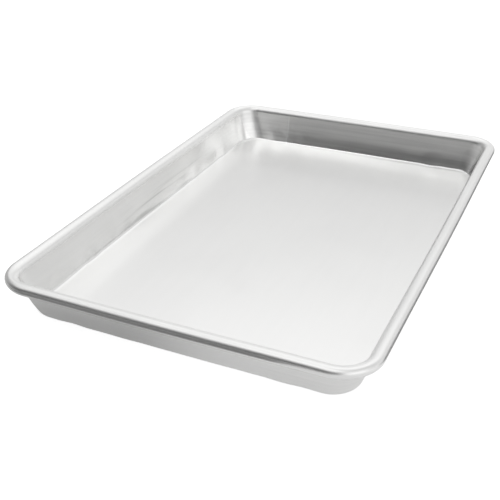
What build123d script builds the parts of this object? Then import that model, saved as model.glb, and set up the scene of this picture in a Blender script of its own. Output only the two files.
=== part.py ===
"""A jelly roll pan: one pressed aluminium tray, with its edge rolled around a steel wire.

Millimetres, +Z up, +X along the pan's length. The origin is under the middle of the pan,
on the surface that the pan stands on.
"""
from build123d import *
from math import cos, radians, sin, sqrt
import os

os.makedirs("parts", exist_ok=True)

# Sizes of the tray
pan_length = 406.4  # over the rolled rim, along X
pan_width = 279.4  # over the rolled rim, along Y
pan_height = 33.4  # from the table to the top of the rim
sheet_thickness = 1.0
top_draft = 7.0  # degrees that the walls lean out from upright, just under the rim
foot_draft = 22.0  # the same just above the bottom bend, because the walls curl a little
bottom_bend_radius = 4.0  # outside of the bend between wall and floor
shoulder_radius = 5.9  # top side of the bend from wall to rim
rim_corner_radius = 27.2  # outer edge of the rim, seen from above
base_corner_radius = 21.0  # outside of the walls' corners, drawn on down to the table

# Sizes of the wire and of the roll around it
wire_diameter = 6.0
wire_clearance = 0.1  # all round the wire, inside the roll
wire_gap = 1.0  # between the wire's two cut ends
rim_flat = 0.2  # level strip between the roll and the shoulder
roll_turn = 255.0  # degrees from the top of the roll round to its cut edge

# The roll and the shoulder, as seen in a cut through the rim.
# An inset is measured inwards from the rim's outer edge.
roll_bore_radius = wire_diameter / 2 + wire_clearance
roll_radius = roll_bore_radius + sheet_thickness
roll_level = pan_height - roll_radius
shoulder_inset = roll_radius + rim_flat
shoulder_level = pan_height - shoulder_radius
shoulder_under_radius = shoulder_radius - sheet_thickness

# The two faces of a wall are arcs about one centre in that cut.
# They touch the shoulder's arcs above and the bottom bend below.
inner_bend_radius = bottom_bend_radius - sheet_thickness
wall_top_inset = shoulder_inset + shoulder_radius * cos(radians(top_draft))
wall_top_level = shoulder_level + shoulder_radius * sin(radians(top_draft))
wall_foot_level = sheet_thickness + inner_bend_radius * (1 - sin(radians(foot_draft)))
draft_rise = sin(radians(foot_draft)) - sin(radians(top_draft))
inner_wall_radius = (wall_top_level - wall_foot_level) / draft_rise
outer_wall_radius = inner_wall_radius + sheet_thickness
wall_centre_inset = wall_top_inset + inner_wall_radius * cos(radians(top_draft))
wall_centre_level = wall_top_level + inner_wall_radius * sin(radians(top_draft))
wall_steps = 3  # parts that a wall's arc is lofted in


def wall_inset(level, wall_radius):
    """Inset of one of a wall's two faces at a height."""
    return wall_centre_inset - sqrt(wall_radius**2 - (wall_centre_level - level) ** 2)


def inner_inset(level):
    """Inset of the wall's inner face at a height."""
    return wall_inset(level, inner_wall_radius)


def outer_inset(level):
    """Inset of the wall's outer face at a height."""
    return wall_inset(level, outer_wall_radius)


def outer_corner_radius(level):
    """Plan radius of the walls' outer corners: it changes evenly from the shoulder to the table."""
    top = rim_corner_radius - outer_inset(shoulder_level)
    return base_corner_radius + (top - base_corner_radius) * level / shoulder_level


def inner_corner_radius(level):
    """Plan radius of the walls' inner corners, about the same centres as the outer ones."""
    return outer_corner_radius(level) - inner_inset(level) + outer_inset(level)


def walled_block(floor_level, inset, corner_radius, bend_radius):
    """Solid between a floor and the shoulder, with curved walls and a rounded lower edge."""
    with BuildPart() as block:
        for step in range(wall_steps + 1):
            level = floor_level + (shoulder_level - floor_level) * step / wall_steps
            with BuildSketch(Plane.XY.offset(level)):
                length = pan_length - 2 * inset(level)
                width = pan_width - 2 * inset(level)
                RectangleRounded(length, width, corner_radius(level))
        loft()
        floor = block.faces().sort_by(Axis.Z)[0]
        fillet(floor.edges(), radius=bend_radius)
    return block.part


# The cut through the rim: X is the inset and Y is the height
roll_centre = (roll_radius, roll_level)
shoulder_centre = (shoulder_inset, shoulder_level)
shoulder_turn = 90.0 - top_draft

with BuildSketch() as rim_section:
    with BuildLine():
        roll_outside = CenterArc(roll_centre, roll_radius, 90, roll_turn)
        roll_inside = CenterArc(roll_centre, roll_bore_radius, 90, roll_turn)
        shoulder_top = CenterArc(shoulder_centre, shoulder_radius, 90, -shoulder_turn)
        shoulder_under = CenterArc(shoulder_centre, shoulder_under_radius, 90, -shoulder_turn)
        Line(roll_outside @ 1, roll_inside @ 1)
        Line(roll_outside @ 0, shoulder_top @ 0)
        Line(roll_inside @ 0, shoulder_under @ 0)
        inner_end = (inner_inset(shoulder_level), shoulder_level)
        outer_end = (outer_inset(shoulder_level), shoulder_level)
        Line(shoulder_top @ 1, inner_end)
        Line(inner_end, outer_end)
        Line(outer_end, shoulder_under @ 1)
    make_face()

# The cut through the wire, in the same X and Y
with BuildSketch() as wire_section:
    with Locations(roll_centre):
        Circle(wire_diameter / 2)

# The rim runs round the pan as four straight sides, each followed by a corner.
# A side is given by its outward angle, its distance out and half of its straight run.
long_run = pan_length / 2 - rim_corner_radius
short_run = pan_width / 2 - rim_corner_radius
rim_sides = [
    (0, pan_length / 2, short_run),
    (90, pan_width / 2, long_run),
    (180, pan_length / 2, short_run),
    (270, pan_width / 2, long_run),
]


def cut_plane(angle, out, along):
    """Upright plane across the rim: local X points into the pan, local Y up."""
    outward = Vector(cos(radians(angle)), sin(radians(angle)), 0)
    onward = Vector(-sin(radians(angle)), cos(radians(angle)), 0)
    return Plane(origin=outward * out + onward * along, x_dir=-outward, z_dir=onward)


def corner_axis(plane):
    """Upright line that the rim turns about after a side that ends on this plane."""
    return Axis(plane.origin + plane.x_dir * rim_corner_radius, (0, 0, 1))


outside = walled_block(0, outer_inset, outer_corner_radius, bottom_bend_radius)
inside = walled_block(sheet_thickness, inner_inset, inner_corner_radius, inner_bend_radius)

# The pan: its outside, hollowed out by its inside, with the rim added on top
with BuildPart() as pan_shell:
    add(outside)
    add(inside, mode=Mode.SUBTRACT)
    for angle, out, half_run in rim_sides:
        with BuildSketch(cut_plane(angle, out, -half_run)):
            add(rim_section.sketch)
        extrude(amount=2 * half_run)
        side_end = cut_plane(angle, out, half_run)
        with BuildSketch(side_end):
            add(rim_section.sketch)
        revolve(axis=corner_axis(side_end), revolution_arc=90)

# The wire: the same run round the pan, with its two ends kept apart in the middle of a long side
with BuildPart() as rim_wire:
    for angle, out, half_run in rim_sides:
        with BuildSketch(cut_plane(angle, out, -half_run)):
            add(wire_section.sketch)
        extrude(amount=2 * half_run)
        side_end = cut_plane(angle, out, half_run)
        with BuildSketch(side_end):
            add(wire_section.sketch)
        revolve(axis=corner_axis(side_end), revolution_arc=90)
    with Locations((0, pan_width / 2 - roll_radius, roll_level)):
        Box(wire_gap, 2 * roll_radius, 2 * roll_radius, mode=Mode.SUBTRACT)

pan_shell.part.label = "pan_shell"
rim_wire.part.label = "rim_wire"
export_step(pan_shell.part, "parts/pan_shell.step")
export_step(rim_wire.part, "parts/rim_wire.step")
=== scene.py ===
# %% [markdown]
# # A jelly roll pan
# The pan is one pressed sheet of aluminium whose edge is rolled around a steel wire. Here it gets the
# shape, finish and light of the photograph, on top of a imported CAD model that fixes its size. The packed
# model is loaded first, so that every piece made below has the same frame: metres, the origin on the table,
# X along the length.

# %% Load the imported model
import math

import bmesh
import bpy
from mathutils import Matrix, Vector, noise


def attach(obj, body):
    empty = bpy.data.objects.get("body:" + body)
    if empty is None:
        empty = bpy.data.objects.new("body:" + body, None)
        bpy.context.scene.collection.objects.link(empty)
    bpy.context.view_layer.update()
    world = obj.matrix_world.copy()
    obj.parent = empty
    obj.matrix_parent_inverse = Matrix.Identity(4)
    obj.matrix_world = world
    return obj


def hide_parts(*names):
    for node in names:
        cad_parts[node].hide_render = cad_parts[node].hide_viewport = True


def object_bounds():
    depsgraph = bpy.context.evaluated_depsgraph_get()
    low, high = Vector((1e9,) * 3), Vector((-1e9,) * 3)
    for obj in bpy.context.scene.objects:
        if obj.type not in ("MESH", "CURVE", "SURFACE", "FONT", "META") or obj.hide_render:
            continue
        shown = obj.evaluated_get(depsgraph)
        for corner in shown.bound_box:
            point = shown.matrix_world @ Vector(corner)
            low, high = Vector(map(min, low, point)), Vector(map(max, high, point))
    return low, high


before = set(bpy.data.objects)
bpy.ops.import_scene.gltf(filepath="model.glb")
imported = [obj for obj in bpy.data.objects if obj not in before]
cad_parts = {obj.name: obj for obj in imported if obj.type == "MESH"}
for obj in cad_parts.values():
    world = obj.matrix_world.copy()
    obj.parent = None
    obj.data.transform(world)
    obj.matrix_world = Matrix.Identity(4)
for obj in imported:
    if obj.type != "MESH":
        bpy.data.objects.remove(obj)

mm = 0.001
cad_low, cad_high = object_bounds()
print("CAD box in mm:", [round(x / mm, 1) for x in (*cad_low, *cad_high)])

# %% [markdown]
# ## The camera
# A photograph fixes seven numbers of its camera: where it stood, where it pointed, how it was rolled and
# how long the lens was. They were solved from the pan's own edges. The camera could be aimed with a
# constraint, but building its matrix from three directions says plainly what each number does.

# %% Place the camera
view_azimuth = math.radians(-64.606)
view_elevation = math.radians(29.294)
view_roll = math.radians(-0.931)
view_distance = 0.688900
view_shift = (-0.028940, -0.014330)
view_rise = 0.12 * mm  # the rim stands this much higher than the one that the camera was solved with
nearest_seen = 10.0 * mm
lens_in_pixels = 812.924
photo_pixels = 500
sensor_width = 36.0

back = Vector((
    math.sin(view_azimuth) * math.cos(view_elevation),
    -math.cos(view_azimuth) * math.cos(view_elevation),
    math.sin(view_elevation),
))
level_right = Vector((math.cos(view_azimuth), math.sin(view_azimuth), 0.0))
level_up = back.cross(level_right)
right = level_right * math.cos(view_roll) + level_up * math.sin(view_roll)
up = level_up * math.cos(view_roll) - level_right * math.sin(view_roll)
place = back * view_distance + right * view_shift[0] + up * view_shift[1] + Vector((0, 0, view_rise))

camera_data = bpy.data.cameras.new("photo_camera")
camera_data.sensor_width = sensor_width
camera_data.lens = lens_in_pixels / photo_pixels * sensor_width
camera_data.clip_start = nearest_seen
camera = bpy.data.objects.new("photo_camera", camera_data)
bpy.context.scene.collection.objects.link(camera)
camera.matrix_world = Matrix.Translation(place) @ Matrix((right, up, back)).transposed().to_4x4()
bpy.context.scene.camera = camera
print("camera at", [round(x, 4) for x in place], "with a lens of", round(camera_data.lens, 2), "mm")

# %% [markdown]
# ## The section of the sheet
# Cut the pan anywhere along its rim and the same line shows: level floor, tight bend, a wall that curls a
# little, shoulder, and a roll of nearly three quarters of a turn around the wire. So the line is drawn
# once, as a wire of edges. The arcs are made with spin, which turns the last point about a centre and joins
# the steps with edges. Only the sheet's upper face is drawn, and it goes on round the outside of the roll.
# The thickness comes later from solidify, the same everywhere.

# %% Name the sizes of the pan
size_digits = 4  # tenths of a millimetre, because the CAD mesh has facets and its box is a hair too small
pan_length, pan_width, pan_height = (
    round(high - low, size_digits) for low, high in zip(cad_low, cad_high)
)
sheet_thickness = 1.0 * mm
top_draft = math.radians(7.0)  # lean of the wall just under the shoulder
foot_draft = math.radians(22.0)  # lean of the wall just above the bottom bend
bend_radius = 3.0 * mm  # between floor and wall, on the inside
shoulder_radius = 5.9 * mm
rim_corner_radius = 27.2 * mm
roll_radius = 4.1 * mm
rim_flat = 0.2 * mm
roll_turn = math.radians(255.0)
floor_strip = 2.0 * mm  # level strip next to the bend, so that the floor shades flat
same_point = 0.001 * mm  # points nearer than this are one
print("over the rim in mm:", [round(x / mm, 1) for x in (pan_length, pan_width, pan_height)])

# %% Draw the section in the plane across the long side
def spin_point(mesh, point, centre, angle, steps):
    """Turn a point about a centre in the section's plane, and return the arc's last point."""
    swept = bmesh.ops.spin(
        mesh, geom=[point], cent=centre, axis=(0, 1, 0), angle=angle, steps=steps, dvec=(0, 0, 0),
        use_merge=False, use_normal_flip=False, use_duplicate=False,
    )
    return [v for v in swept["geom_last"] if isinstance(v, bmesh.types.BMVert)][0]


def move_point(mesh, point, step):
    """Draw a straight line from a point, and return its end."""
    made = bmesh.ops.extrude_vert_indiv(mesh, verts=[point])
    bmesh.ops.translate(mesh, verts=made["verts"], vec=Vector(step))
    return made["verts"][0]


def arm(draft, radius):
    """Step from a point of the wall to the centre that it curves about, into the pan and up."""
    return Vector((-radius * math.cos(draft), 0, radius * math.sin(draft)))


def in_mm(point):
    """A point's place, for printing."""
    return [round(c / mm, 2) for c in point.co]


roll_steps, shoulder_steps, wall_steps, bend_steps = 46, 14, 14, 10
rim_x = pan_length / 2
roll_centre = Vector((rim_x - roll_radius, 0, pan_height - roll_radius))
shoulder_centre = Vector((rim_x - roll_radius - rim_flat, 0, pan_height - shoulder_radius))

pan_mesh = bmesh.new()
top_point = pan_mesh.verts.new((roll_centre.x, 0, pan_height))
last = spin_point(pan_mesh, top_point, roll_centre, roll_turn, roll_steps)
print("roll ends at mm", in_mm(last))
last = move_point(pan_mesh, top_point, (-rim_flat, 0, 0))
last = spin_point(pan_mesh, last, shoulder_centre, top_draft - math.pi / 2, shoulder_steps)
print("wall starts at mm", in_mm(last))
wall_foot_level = sheet_thickness + bend_radius * (1 - math.sin(foot_draft))
wall_radius = (last.co.z - wall_foot_level) / (math.sin(foot_draft) - math.sin(top_draft))
last = spin_point(pan_mesh, last, last.co + arm(top_draft, wall_radius), foot_draft - top_draft, wall_steps)
print("wall ends at mm", in_mm(last), "curled to a radius of", round(wall_radius / mm, 1))
bend_centre = last.co + arm(foot_draft, bend_radius)
last = spin_point(pan_mesh, last, bend_centre, math.pi / 2 - foot_draft, bend_steps)
last = move_point(pan_mesh, last, (-floor_strip, 0, 0))
print("floor starts at mm", in_mm(last), "points in the section:", len(pan_mesh.verts))

# %% [markdown]
# ## From section to pan
# The rest is the way a drawer would trace the rim: extrude the line along half of a short side, spin it a
# quarter turn round the corner, extrude it along half of a long side. That quarter is mirrored twice. A
# full outline could be swept in one go, but a quarter keeps the pan exactly even and takes a fourth of the
# steps.

# %% Sweep a quarter of the pan
def extrude_edges(mesh, edges, step, parts):
    """Pull a row of edges along a step, in equal parts, and return the row at the end."""
    for _ in range(parts):
        made = bmesh.ops.extrude_edge_only(mesh, edges=edges)
        verts = [g for g in made["geom"] if isinstance(g, bmesh.types.BMVert)]
        edges = [
            g for g in made["geom"]
            if isinstance(g, bmesh.types.BMEdge) and all(v in verts for v in g.verts)
        ]
        bmesh.ops.translate(mesh, verts=verts, vec=Vector(step) / parts)
    return edges


def turn_edges(mesh, edges, centre, angle, steps):
    """Swing a row of edges round an upright axis, and return the row at the end."""
    turned = bmesh.ops.spin(
        mesh, geom=edges, cent=centre, axis=(0, 0, 1), angle=angle, steps=steps, dvec=(0, 0, 0),
        use_merge=False, use_normal_flip=False, use_duplicate=False,
    )
    return [g for g in turned["geom_last"] if isinstance(g, bmesh.types.BMEdge)]


short_parts, corner_steps, long_parts = 28, 26, 36
short_half = pan_width / 2 - rim_corner_radius
long_half = pan_length / 2 - rim_corner_radius
row = extrude_edges(pan_mesh, pan_mesh.edges[:], (0, short_half, 0), short_parts)
row = turn_edges(pan_mesh, row, (long_half, short_half, 0), math.pi / 2, corner_steps)
row = extrude_edges(pan_mesh, row, (-long_half, 0, 0), long_parts)
print("faces in the quarter:", len(pan_mesh.faces))

# %% Mirror it and close the floor
for axis in ("X", "Y"):
    whole = pan_mesh.verts[:] + pan_mesh.edges[:] + pan_mesh.faces[:]
    bmesh.ops.mirror(pan_mesh, geom=whole, axis=axis, merge_dist=same_point)
bmesh.ops.remove_doubles(pan_mesh, verts=pan_mesh.verts[:], dist=same_point)
floor_loop = [
    e for e in pan_mesh.edges
    if e.is_boundary and all(abs(v.co.z - sheet_thickness) < same_point for v in e.verts)
]
bmesh.ops.contextual_create(pan_mesh, geom=floor_loop)
bmesh.ops.recalc_face_normals(pan_mesh, faces=pan_mesh.faces[:])
floor_face = max(pan_mesh.faces, key=lambda f: f.calc_area())
if floor_face.normal.z < 0:
    bmesh.ops.reverse_faces(pan_mesh, faces=pan_mesh.faces[:])
print("floor edges:", len(floor_loop), "faces:", len(pan_mesh.faces))

# %% [markdown]
# ## What the press does to the sheet
# A pressed pan is never the drawing of a pan. The line round its floor wanders by about a millimetre near
# the corners, where the sheet had too much metal and gathered. Its corners open up towards the table,
# because sheet can't be drawn round a tight corner over the whole depth. And its sides bow out by about
# half a millimetre between the corners. These could be sculpted, but three small rules that move each
# point keep the section's arcs smooth.

# %% Let the foot of the walls wander
foot_level = 3.0 * mm  # below this height the foot takes the whole step
still_level = 15.0 * mm  # and above this one nothing moves
wave_length = 16.0 * mm
calm_wave = 0.2 * mm  # how far the foot wanders along the sides
corner_wave = 0.7 * mm  # and how much more it does near the corners
near_corner_shares = (1.2, 1.9)  # shares of the way along X and along Y, added up: a corner starts at 2
gathers = [  # on the far short wall, in mm: place along Y, half width, and depth, above 0 into the pan
    (98.0, 8.0, 0.8), (84.0, 6.0, -0.4), (75.0, 2.5, 0.4),
    (-74.0, 8.0, -0.4), (-86.0, 7.0, 1.0), (-99.0, 6.0, -0.4),
]


def eased(value, low, high):
    """Rise smoothly from 0 at low to 1 at high."""
    t = min(max((value - low) / (high - low), 0.0), 1.0)
    return t * t * (3 - 2 * t)


def wander(point):
    """How far the foot of the wall has moved into the pan at a point."""
    shares = abs(point.x) / long_half + abs(point.y) / short_half
    swing = calm_wave + corner_wave * eased(shares, *near_corner_shares)
    wave = noise.noise(Vector((point.x, point.y, 0.0)) / wave_length) * swing
    if point.x > long_half:
        for along, width, depth in gathers:
            wave += depth * mm * math.exp(-(((point.y / mm - along) / width) ** 2))
    return wave


def wander_foot(point):
    """Move a point of the foot along the way that its wall faces."""
    low_part = 1 - eased(point.z, foot_level, still_level)
    beyond = Vector((
        math.copysign(max(abs(point.x) - long_half, 0.0), point.x),
        math.copysign(max(abs(point.y) - short_half, 0.0), point.y), 0.0,
    ))
    if low_part > 0 and beyond.length > 0:
        point -= beyond.normalized() * (wander(point) * low_part)


def apply_rule(mesh, rule):
    """Move every point of a mesh by a rule, and return the longest step in mm."""
    longest = 0.0
    for v in mesh.verts:
        before = v.co.copy()
        rule(v.co)
        longest = max(longest, (v.co - before).length)
    return round(longest / mm, 2)


print("the foot of the walls wanders by up to", apply_rule(pan_mesh, wander_foot), "mm")

# %% Open the corners towards the table
corner_opening = 9.5 * mm  # how much the corner's radius grows from the rim down to the table


def open_corner(point):
    """Grow the corner's radius with the depth, and shorten the straight sides to meet it."""
    grow = corner_opening * max(0.0, pan_height - point.z) / pan_height
    past_x, past_y = abs(point.x) - long_half, abs(point.y) - short_half
    if past_x > 0 and past_y > 0:
        arm_length = math.hypot(past_x, past_y)
        point.x += math.copysign(1.0, point.x) * grow * (past_x / arm_length - 1)
        point.y += math.copysign(1.0, point.y) * grow * (past_y / arm_length - 1)
        return
    if past_x <= 0:
        point.x *= (long_half - grow) / long_half
    if past_y <= 0:
        point.y *= (short_half - grow) / short_half


print("opening the corners moves a point by up to", apply_rule(pan_mesh, open_corner), "mm")

# %% Bow the sides
side_bow = 0.6 * mm


def bow_sides(point):
    """Pull the corners in a little, so that each side bows out between them."""
    along_x = (1 - math.cos(math.pi * min(abs(point.x) / long_half, 1.0))) / 2
    along_y = (1 - math.cos(math.pi * min(abs(point.y) / short_half, 1.0))) / 2
    point.x, point.y = (
        point.x * (1 - along_y * side_bow / (pan_length / 2)),
        point.y * (1 - along_x * side_bow / (pan_width / 2)),
    )


print("the bow pulls a corner in by up to", apply_rule(pan_mesh, bow_sides), "mm")
pan_mesh.normal_update()

# %% Give the sheet its thickness
def add_piece(name, mesh):
    """Turn a finished bmesh into a smooth-shaded object, and say how large it is."""
    for f in mesh.faces:
        f.smooth = True
    lows = [min(v.co[i] for v in mesh.verts) / mm for i in range(3)]
    highs = [max(v.co[i] for v in mesh.verts) / mm for i in range(3)]
    data = bpy.data.meshes.new(name)
    mesh.to_mesh(data)
    mesh.free()
    piece = bpy.data.objects.new(name, data)
    bpy.context.scene.collection.objects.link(piece)
    print(name, "in mm:", [round(x, 2) for x in (*lows, *highs)], "faces:", len(data.polygons))
    return piece


bmesh.ops.solidify(pan_mesh, geom=pan_mesh.faces[:], thickness=sheet_thickness)
pan_sheet = add_piece("pan_sheet", pan_mesh)
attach(pan_sheet, "root")
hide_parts("pan_shell")

# %% [markdown]
# ## The wire inside the rim
# The wire can only be glimpsed from below, in the slit between the roll's edge and the wall. It is a round
# bar that follows the rim, cut once in the middle of a long side. A curve with a bevel would do as well. A
# circle that is extruded and spun along the same sides and corners takes the same bow as the sheet, so it
# stays inside the roll.

# %% Sweep half of the wire and mirror it
wire_radius = 3.0 * mm
wire_gap = 1.0 * mm
wire_sides = 20
wire_corner_steps, half_long_parts, whole_short_parts = 14, 18, 28

wire_mesh = bmesh.new()
ring = bmesh.ops.create_circle(wire_mesh, cap_ends=False, segments=wire_sides, radius=wire_radius)
bmesh.ops.rotate(wire_mesh, verts=ring["verts"], matrix=Matrix.Rotation(math.pi / 2, 3, "Y"))
side_y = pan_width / 2 - roll_radius
bmesh.ops.translate(wire_mesh, verts=ring["verts"], vec=(wire_gap / 2, side_y, pan_height - roll_radius))
row = extrude_edges(wire_mesh, wire_mesh.edges[:], (long_half - wire_gap / 2, 0, 0), half_long_parts)
row = turn_edges(wire_mesh, row, (long_half, short_half, 0), -math.pi / 2, wire_corner_steps)
row = extrude_edges(wire_mesh, row, (0, -2 * short_half, 0), whole_short_parts)
row = turn_edges(wire_mesh, row, (long_half, -short_half, 0), -math.pi / 2, wire_corner_steps)
row = extrude_edges(wire_mesh, row, (-long_half, 0, 0), half_long_parts)
whole = wire_mesh.verts[:] + wire_mesh.edges[:] + wire_mesh.faces[:]
bmesh.ops.mirror(wire_mesh, geom=whole, axis="X", merge_dist=same_point)
bmesh.ops.remove_doubles(wire_mesh, verts=wire_mesh.verts[:], dist=same_point)
bmesh.ops.holes_fill(wire_mesh, edges=[e for e in wire_mesh.edges if e.is_boundary], sides=0)
bmesh.ops.recalc_face_normals(wire_mesh, faces=wire_mesh.faces[:])
apply_rule(wire_mesh, bow_sides)
edge_wire = add_piece("edge_wire", wire_mesh)
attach(edge_wire, "root")
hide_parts("rim_wire")

# %% [markdown]
# ## Finishes
# Bare metal has no colour to speak of: what tells aluminium from chrome is how its surface was rolled,
# drawn and handled. All of that is written with a few helpers. They take plain numbers and the outputs of
# other nodes alike, so that a finish reads like a sum. Nodes could be placed by hand for the editor, but a
# plain grid is enough to find them.

# %% Node helpers
nodes_in_a_row = 8
node_spacing = (240, 340)


def feed(tree, socket, value):
    """Link another node's output to an input, or set a plain value on it."""
    if isinstance(value, bpy.types.NodeSocket):
        tree.links.new(value, socket)
    else:
        socket.default_value = value


def node(tree, kind, **settings):
    """Add a node in the next place of the grid, and set its properties and its inputs."""
    line, column = divmod(len(tree.nodes), nodes_in_a_row)
    made = tree.nodes.new(kind)
    made.location = ((column - nodes_in_a_row) * node_spacing[0], -line * node_spacing[1])
    for name, value in settings.items():
        if hasattr(made, name):
            setattr(made, name, value)
        else:
            feed(tree, made.inputs[name.replace("_", " ")], value)
    return made


def number(tree, operation, first, second):
    """Combine two numbers."""
    made = node(tree, "ShaderNodeMath", operation=operation)
    feed(tree, made.inputs[0], first)
    feed(tree, made.inputs[1], second)
    return made.outputs[0]


def product(tree, first, *others):
    """Multiply several numbers."""
    for other in others:
        first = number(tree, "MULTIPLY", first, other)
    return first


def total(tree, first, *others):
    """Add up several numbers."""
    for other in others:
        first = number(tree, "ADD", first, other)
    return first


def vector(tree, operation, first, second=(0.0, 0.0, 0.0)):
    """Combine two vectors, or change one."""
    made = node(tree, "ShaderNodeVectorMath", operation=operation)
    feed(tree, made.inputs[0], first)
    feed(tree, made.inputs[1], second)
    return made.outputs["Value" if operation == "DOT_PRODUCT" else "Vector"]


def ramp(tree, value, start, full, kind="SMOOTHSTEP"):
    """Share that rises from 0 at start to 1 at full, and start may be the larger."""
    made = node(tree, "ShaderNodeMapRange", interpolation_type=kind, From_Min=start, From_Max=full)
    feed(tree, made.inputs["Value"], value)
    return made.outputs["Result"]


def blend(tree, share, first, second, kind="FLOAT"):
    """Mix two numbers, or two colours when the kind is RGBA."""
    made = node(tree, "ShaderNodeMix", data_type=kind, clamp_factor=False)
    first_input, output = {"FLOAT": (2, 0), "RGBA": (6, 2)}[kind]
    feed(tree, made.inputs[0], share)
    feed(tree, made.inputs[first_input], first)
    feed(tree, made.inputs[first_input + 1], second)
    return made.outputs[output]


# %% [markdown]
# ### Two effects that both metals share
# Each is a node group with its own inputs. The first draws fine lines: noise that is stretched along one
# direction. It could be an anisotropic shader, but then a viewer that reads the model outside Blender would
# lose it. The second is what hands, racks and the press leave behind: soft patches that are a little duller
# or brighter than the rest.

# %% A group for drawn and rolled lines
def new_group(name, output, **inputs):
    """Start a group that puts out one number, and return it with its inputs and its output."""
    group = bpy.data.node_groups.new(name, "ShaderNodeTree")
    for socket, kind in inputs.items():
        group.interface.new_socket(socket, in_out="INPUT", socket_type="NodeSocket" + kind)
    group.interface.new_socket(output, in_out="OUTPUT", socket_type="NodeSocketFloat")
    return group, node(group, "NodeGroupInput").outputs, node(group, "NodeGroupOutput").inputs[output]


line_range = (0.25, 0.75)  # the part of the noise that is spread from 0 to 1
fine_lines, given, lines_out = new_group(
    "fine_lines", "Lines", Vector="Vector", Stretch="Vector", Detail="Float",
)
stretched = vector(fine_lines, "MULTIPLY", given["Vector"], given["Stretch"])
cloud = node(
    fine_lines, "ShaderNodeTexNoise", Vector=stretched, Detail=given["Detail"], Scale=1.0, Roughness=0.6,
)
feed(fine_lines, lines_out, ramp(fine_lines, cloud.outputs[0], *line_range, kind="LINEAR"))
print("fine_lines has", len(fine_lines.nodes), "nodes")

# %% A group for marks of handling
mark_softness = 0.25  # how far above the threshold a mark is full
handling, given, marks_out = new_group(
    "handling_marks", "Marks", Vector="Vector", Stretch="Vector", Threshold="Float",
)
stretched = vector(handling, "MULTIPLY", given["Vector"], given["Stretch"])
patches = node(
    handling, "ShaderNodeTexNoise", Vector=stretched, Scale=1.0, Detail=1.5, Roughness=0.5, Distortion=0.3,
)
above = number(handling, "SUBTRACT", patches.outputs[0], given["Threshold"])
feed(handling, marks_out, ramp(handling, above, 0.0, mark_softness))
print("handling_marks has", len(handling.nodes), "nodes")


def use_group(tree, group, coords, **values):
    """Place a group, fed with a piece's own coordinates, and return its output."""
    return node(tree, "ShaderNodeGroup", node_tree=group, Vector=coords, **values).outputs[0]


# %% [markdown]
# ## The aluminium
# The floor keeps the matt skin that the rolling mill gave the sheet, with its grain along the pan. Where
# the sheet slid over the press tool, in the walls, the bend and the rim, that skin is drawn smoother and
# shows level lines. So one material works out from a point's place which finish it has, and mixes them. Two
# materials on two sets of faces would show a hard border.

# %% Where each finish lies
def new_metal(name, piece):
    """Give a piece a metal of its own, and return the tree, the shader and the piece's coordinates."""
    material = bpy.data.materials.new(name)
    material.use_nodes = True
    piece.data.materials.append(material)
    shader = material.node_tree.nodes["Principled BSDF"]
    shader.inputs["Metallic"].default_value = 1.0
    coords = node(material.node_tree, "ShaderNodeTexCoord").outputs["Object"]
    return material.node_tree, shader, coords


def find_places(tree, coords, places):
    """Turn a table of places into masks, each with a share from 0 to 1 at every point."""
    along = node(tree, "ShaderNodeSeparateXYZ", Vector=coords).outputs
    return {
        name: ramp(tree, along[axis], start * mm, full * mm)
        for name, (axis, start, full) in places.items()
    }


finish_places = {  # axis, where it starts and where it is full, in mm
    "floor": ("Z", 3.5, 1.2),
    "wall": ("Z", 1.2, 3.5),
    "up the wall": ("Z", 8.0, 20.0),
    "crown": ("Z", 23.0, 31.5),
    "under the crown": ("Z", 31.5, 23.0),
    "far end": ("X", 180.0, 183.0),
}
tree, shader, coords = new_metal("mill_aluminium", pan_sheet)
mask = find_places(tree, coords, finish_places)
inner_far_wall = product(tree, mask["far end"], mask["under the crown"])
print("finishes are placed by", len(mask), "masks")

# %% The grain of the floor and the lines of the walls
grain = use_group(tree, fine_lines, coords, Stretch=(14.0, 160.0, 160.0), Detail=2.0)
drawn = use_group(tree, fine_lines, coords, Stretch=(9.0, 9.0, 420.0), Detail=4.0)
swells = use_group(tree, fine_lines, coords, Stretch=(24.0, 24.0, 70.0), Detail=1.0)
lines = blend(tree, mask["wall"], grain, drawn)
print("nodes so far:", len(tree.nodes))

# %% [markdown]
# The wear is placed where the photograph shows it. Along the foot of one long wall the press has
# dragged streaks. The far short wall has a faint upright line, left by the edge of the tool's insert, and
# beside it the skin is duller. The last three are not wear but painted reflections: high up and at one
# end of its foot that wall is painted a little darker, and the floor along it is painted a little lighter.
# The light below doesn't make these reflections.

# %% The marks of the press, and painted reflections
mark_places = {  # axis, where it starts and where it is full, in mm
    "long side": ("Y", 118.0, 121.0),
    "dragged end": ("X", -80.0, -20.0),
    "low wall": ("Z", 20.0, 9.0),
    "beside the insert": ("Y", 75.2, 75.9),
    "up to the line": ("Y", 74.6, 75.3),
    "back to the line": ("Y", 76.4, 75.7),
    # the last five places below are for the painted reflections on the far wall and its floor
    "upper wall": ("Z", 14.0, 22.0),
    "off the corner": ("Y", -100.0, -60.0),
    "dark end": ("Y", 30.0, -70.0),
    "wall's foot": ("Z", 15.0, 7.0),
    "back of the floor": ("X", 122.0, 150.0),
}
clouds = use_group(tree, handling, coords, Stretch=(12.0, 12.0, 12.0), Threshold=0.42)
streaks = use_group(tree, handling, coords, Stretch=(14.0, 14.0, 260.0), Threshold=0.48)
mask.update(find_places(tree, coords, mark_places))
dragged = product(tree, mask["long side"], mask["dragged end"], mask["low wall"], mask["wall"])
dull_side = product(tree, inner_far_wall, mask["beside the insert"], mask["wall"])
insert_line = product(tree, inner_far_wall, mask["up to the line"], mask["back to the line"])

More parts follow.
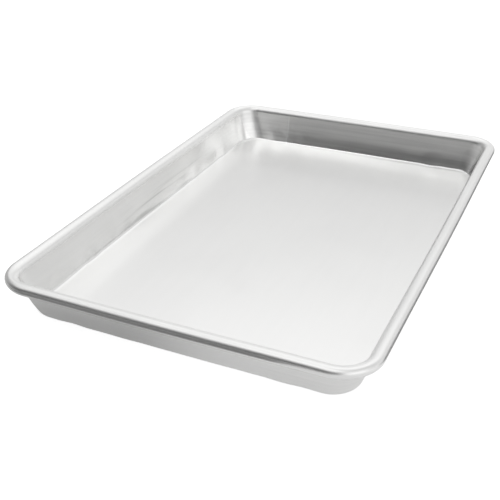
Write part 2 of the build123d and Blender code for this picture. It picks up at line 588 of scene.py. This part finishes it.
marks_and_painted_reflections = [  # where it is, what it adds to the shade and what it adds to the roughness
    (clouds, -0.02, 0.02),
    (product(tree, streaks, dragged), -0.28, 0.08),
    (insert_line, 0.16, 0.0),
    (dull_side, 0.08, 0.0),
    # painted reflection: the far wall is darker high up, fading out towards its -Y end
    (product(tree, inner_far_wall, mask["upper wall"], mask["off the corner"]), -0.08, 0.0),
    # painted reflection: the foot of the far wall is darker towards its -Y end
    (product(tree, inner_far_wall, mask["wall's foot"], mask["dark end"]), -0.16, 0.0),
    # painted reflection: the floor is lighter along the far wall
    (product(tree, mask["floor"], mask["back of the floor"]), 0.08, 0.0),
]
print("marks:", len(marks_and_painted_reflections), "nodes so far:", len(tree.nodes))

# %% Colour and roughness
aluminium_colour = (0.9, 0.9, 0.893, 1.0)
black = (0.0, 0.0, 0.0, 1.0)
floor_lines, wall_lines, far_wall_lines = 0.012, 0.06, 0.16  # how much the lines change the shade
line_roughness_share = 0.5  # and the roughness, as a share of that
floor_roughness, wall_roughness, crown_roughness, dull_roughness = 0.285, 0.16, 0.36, 0.36
far_wall_roughness = (0.30, 0.37)  # at its foot, and higher up

on_far_wall = product(tree, mask["far end"], mask["wall"])
line_depth = blend(tree, on_far_wall, blend(tree, mask["wall"], floor_lines, wall_lines), far_wall_lines)
line_swing = product(tree, number(tree, "SUBTRACT", lines, 0.5), line_depth)

rough = blend(tree, mask["wall"], floor_roughness, wall_roughness)
rough = blend(tree, on_far_wall, rough, blend(tree, mask["up the wall"], *far_wall_roughness))
rough = blend(tree, dull_side, rough, dull_roughness)
rough = blend(tree, mask["crown"], rough, crown_roughness)
rough = total(tree, rough, product(tree, line_swing, line_roughness_share))
shade = total(tree, line_swing, 1.0)
for where, lighter, rougher in marks_and_painted_reflections:
    shade = total(tree, shade, product(tree, where, lighter))
    if rougher:
        rough = total(tree, rough, product(tree, where, rougher))
feed(tree, shader.inputs["Roughness"], rough)
feed(tree, shader.inputs["Base Color"], blend(tree, shade, black, aluminium_colour, kind="RGBA"))
print("roughness of the floor", floor_roughness, "and of a wall", wall_roughness)

# %% [markdown]
# The relief is there for reflections, not for shape: fine lines that only break up a highlight, and long
# low swells in the walls that make it waver. The floor has none, because it is flat enough to look plain.

# %% Relief
line_relief, swell_relief = 0.0008, 0.06  # in mm
relief_unit = 1.0 * mm
lines_high = product(tree, drawn, mask["wall"], line_relief)
swells_high = product(tree, swells, mask["wall"], swell_relief)
relief = total(tree, lines_high, swells_high)
bump = node(tree, "ShaderNodeBump", Strength=1.0, Distance=relief_unit, Height=relief)
feed(tree, shader.inputs["Normal"], bump.outputs[0])
print("the aluminium has", len(tree.nodes), "nodes")

# %% [markdown]
# ## The steel
# Drawn wire is darker and greyer than the sheet, and the die has scratched it along its length. It could
# borrow the aluminium, but it has its own values of the same two groups.

# %% Make the steel
dark_steel, light_steel = (0.50, 0.50, 0.51, 1.0), (0.60, 0.60, 0.61, 1.0)
steel_roughness = (0.3, 0.42)  # in a scratch's dark and light lines
dull_patch = 0.12
scratch_height = 0.01 * mm

tree, shader, coords = new_metal("drawn_steel", edge_wire)
scratches = use_group(tree, fine_lines, coords, Stretch=(160.0, 160.0, 2200.0), Detail=3.0)
dull = use_group(tree, handling, coords, Stretch=(60.0, 60.0, 60.0), Threshold=0.5)
rough = total(tree, blend(tree, scratches, *steel_roughness), product(tree, dull, dull_patch))
bump = node(tree, "ShaderNodeBump", Strength=1.0, Distance=scratch_height, Height=scratches)
feed(tree, shader.inputs["Roughness"], rough)
feed(tree, shader.inputs["Base Color"], blend(tree, scratches, dark_steel, light_steel, kind="RGBA"))
feed(tree, shader.inputs["Normal"], bump.outputs[0])
print("the steel has", len(tree.nodes), "nodes")

# %% [markdown]
# ## The studio
# Metal shows the room, so most of the likeness is made here. The reflections read like a white tent with an
# opening where the camera stood, and the ground is pure white. The floor below is pale grey. Rays that come
# straight from the camera find white added to it, and the rays that the metal sends out find a little added
# too, most of it on the window's side. Lamps could stand round the pan instead, but a floor and a sky with
# soft patches give the same reflections without a lamp's noise and hard edges.

# %% Floor
def direction(azimuth):
    """Level unit vector from the pan: azimuth 0 looks along -Y, 90 along +X."""
    turned = math.radians(azimuth)
    return Vector((math.sin(turned), -math.cos(turned), 0.0))


def cleared_tree(owner):
    """Turn on the nodes of a material or a world, and return its tree with nothing in it."""
    owner.use_nodes = True
    owner.node_tree.nodes.clear()
    return owner.node_tree


def matt_grey(tree, level):
    """A matt surface of one grey."""
    return node(tree, "ShaderNodeBsdfDiffuse", Color=(level, level, level, 1.0)).outputs[0]


floor_reach = 6.0
floor_colour = 0.42
camera_lift = 0.85
side_spread = (0.35, 0.95)  # cosines of the angles off a side's middle where its light starts and is full
metal_lifts = [  # azimuth of a side of the floor, and the brightness that is added there for the metal
    (-35, 0.38), (0, 0.23), (35, 0.17), (110, 0.13), (-120, 0.21),
]

floor_mesh = bmesh.new()
bmesh.ops.create_grid(floor_mesh, x_segments=1, y_segments=1, size=floor_reach)
studio_floor = add_piece("studio_floor", floor_mesh)
floor_paint = bpy.data.materials.new("pale_floor")
studio_floor.data.materials.append(floor_paint)

tree = cleared_tree(floor_paint)
outwards = vector(tree, "NORMALIZE", node(tree, "ShaderNodeTexCoord").outputs["Object"])
lit_sides = []
for azimuth, strength in metal_lifts:
    towards = vector(tree, "DOT_PRODUCT", outwards, direction(azimuth))
    lit_sides.append(product(tree, ramp(tree, towards, *side_spread), strength))
ray = node(tree, "ShaderNodeLightPath").outputs
for_camera = product(tree, total(tree, ray["Is Camera Ray"], ray["Is Transmission Ray"]), camera_lift)
for_metal = product(tree, ray["Is Glossy Ray"], total(tree, *lit_sides))
glow = node(tree, "ShaderNodeEmission", Strength=total(tree, for_camera, for_metal))
both = node(tree, "ShaderNodeAddShader")
feed(tree, both.inputs[0], matt_grey(tree, floor_colour))
feed(tree, both.inputs[1], glow.outputs[0])
node(tree, "ShaderNodeOutputMaterial", Surface=both.outputs[0])
print("sides of the floor that light the metal:", len(lit_sides))

# %% [markdown]
# ### Grey cards
# A grey card beside a shiny edge draws a quiet, darker band along it. Here one lies in front of the short
# side and one beside the long side, and only reflections can see them: the bead mirrors the card, and the
# leaning wall below it looks down between the card and the pan. A darker floor would give the bead the same
# band, but the wall would mirror it too.

# %% Cards beside the beads
card_grey = 0.20
card_level = 1.0 * mm
cards = [  # name, then in mm: length, width and middle
    ("front_card", 240.0, 330.0, -340.0, 95.0),
    ("side_card", 520.0, 170.0, 130.0, -242.0),
]
unseen_by = ("visible_camera", "visible_diffuse", "visible_transmission", "visible_shadow")

card_paint = bpy.data.materials.new("grey_card")
tree = cleared_tree(card_paint)
node(tree, "ShaderNodeOutputMaterial", Surface=matt_grey(tree, card_grey))
for name, length, width, x, y in cards:
    card_mesh = bmesh.new()
    bmesh.ops.create_grid(card_mesh, x_segments=1, y_segments=1, size=0.5)
    bmesh.ops.scale(card_mesh, verts=card_mesh.verts[:], vec=(length * mm, width * mm, 1.0))
    bmesh.ops.translate(card_mesh, verts=card_mesh.verts[:], vec=(x * mm, y * mm, card_level))
    card = add_piece(name, card_mesh)
    card.data.materials.append(card_paint)
    for kind_of_ray in unseen_by:
        setattr(card, kind_of_ray, False)

# %% [markdown]
# ### The tent
# The tent is the world's sky: one brightness all round, and soft patches that each mix in another. They are
# the window, the dark opening that the camera looks out of, and the lighter and darker cloth. A picture of
# a room could be wrapped round the scene instead, but a patch has six plain numbers and can be moved.

# %% The tent, as a sky of soft patches
tent = 0.688
patches_of_light = [  # in degrees: middle azimuth, half width, lowest, highest, softness; then brightness
    ("far upper", 112, 55, 36, 72, 12, 1.104),
    ("far middle", 122, 45, 15, 26, 8, 0.696),
    ("far backdrop", 82, 34, -20, 8, 8, 1.136),
    ("left side", 175, 25, 14, 36, 12, 0.336),
    ("left horizon", 175, 25, -20, 12, 8, 0.504),
    ("right horizon", 45, 30, -20, 12, 8, 0.904),
    ("window", -35, 25, -20, 34, 10, 1.152),
    ("high behind the camera", -120, 50, 54, 76, 8, 1.240),
    ("over the opening", -118, 38, 32, 41, 6, 0.832),
    ("beside the opening", -150, 14, -20, 32, 12, 0.136),
    ("upper opening", -120, 28, 14, 34, 8, 0.096),
    ("lower opening", -115, 26, -20, 10, 8, 0.080),
    ("edge of the opening", -82, 7, -20, 32, 9, 0.088),
]


def height_of(elevation):
    """How high a direction of that elevation reaches on a unit sphere."""
    return math.sin(math.radians(max(-90.0, min(90.0, elevation))))


def nearness(angle):
    """Cosine of an angle in degrees, which is the dot product of two directions so far apart."""
    return math.cos(math.radians(angle))


world = bpy.data.worlds.new("studio")
bpy.context.scene.world = world
tree = cleared_tree(world)
looking = node(tree, "ShaderNodeTexCoord").outputs["Generated"]
height = node(tree, "ShaderNodeSeparateXYZ", Vector=looking).outputs["Z"]
level_way = vector(tree, "NORMALIZE", vector(tree, "MULTIPLY", looking, (1.0, 1.0, 0.0)))

brightness = tent
for name, azimuth, half_width, low, high, soft, value in patches_of_light:
    above = ramp(tree, height, height_of(low - soft), height_of(low))
    below = ramp(tree, height, height_of(high + soft), height_of(high))
    along = vector(tree, "DOT_PRODUCT", level_way, direction(azimuth))
    sideways = ramp(tree, along, nearness(half_width + soft), nearness(half_width))
    brightness = blend(tree, product(tree, above, below, sideways), brightness, value)
print("patches of light:", len(patches_of_light), "nodes:", len(tree.nodes))

# %% [markdown]
# ## White for the camera
# The background has to be white whatever the metal sees, so the sky answers the camera's own rays with
# plain white.

# %% Show plain white to the camera
straight = node(tree, "ShaderNodeLightPath").outputs["Is Camera Ray"]
seen = blend(tree, straight, brightness, 1.0)
sky = node(tree, "ShaderNodeBackground", Color=(1.0, 1.0, 1.0, 1.0), Strength=seen)
node(tree, "ShaderNodeOutputWorld", Surface=sky.outputs[0])
bpy.context.scene.view_settings.view_transform = "Standard"
print("view transform:", bpy.context.scene.view_settings.view_transform)
